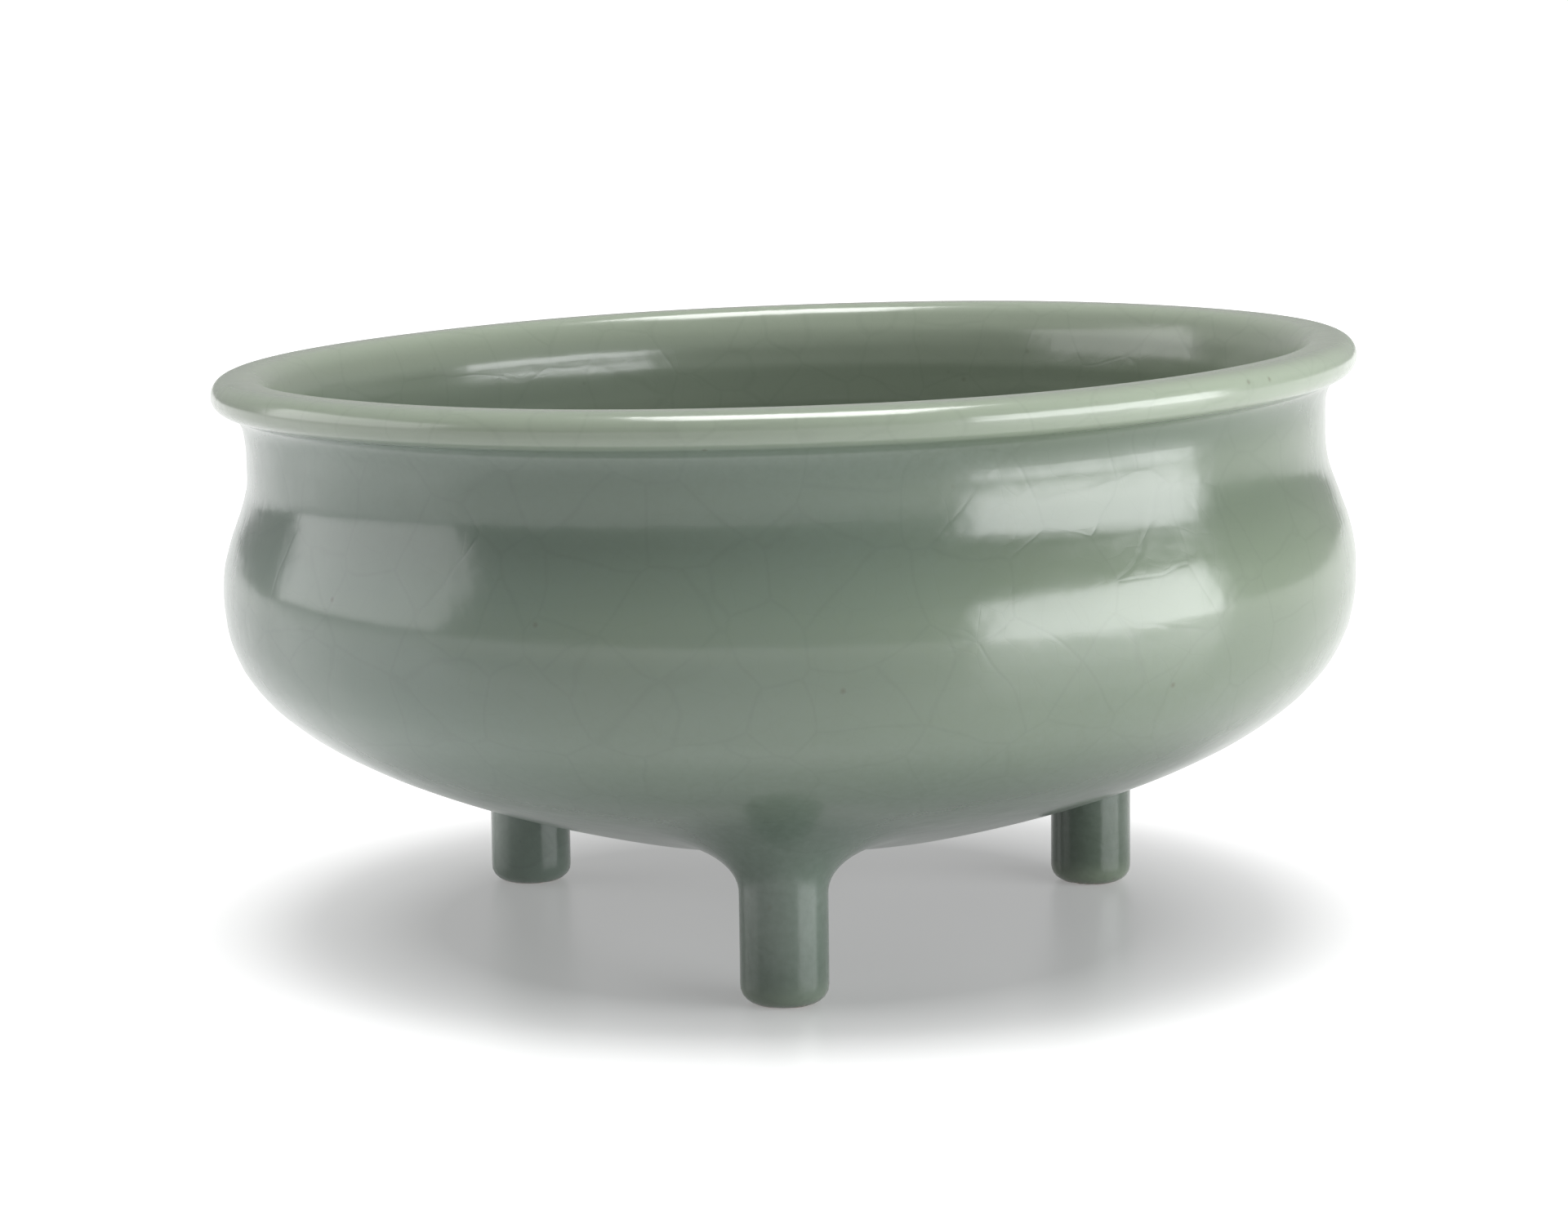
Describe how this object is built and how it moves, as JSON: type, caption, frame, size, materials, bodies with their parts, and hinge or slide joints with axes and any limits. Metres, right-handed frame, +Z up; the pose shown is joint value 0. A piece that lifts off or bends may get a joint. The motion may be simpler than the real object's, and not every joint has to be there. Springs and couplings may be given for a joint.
{
  "type": "celadon tripod censer",
  "caption": "Open round stoneware incense burner with a thick everted lip, a short neck, a full belly and stub feet, under a green celadon glaze.",
  "frame": {"origin": "on the floor, under the middle of the outline seen from above", "axes": "+Z up out of the mouth, -Y towards the front foot, +X to the right of a person who faces the front foot"},
  "size_m": [0.1602, 0.16, 0.0838],
  "materials": {
    "celadon": "gloss"
  },
  "bodies": {
    "root": {"censer": "celadon"}
  },
  "joints": []
}
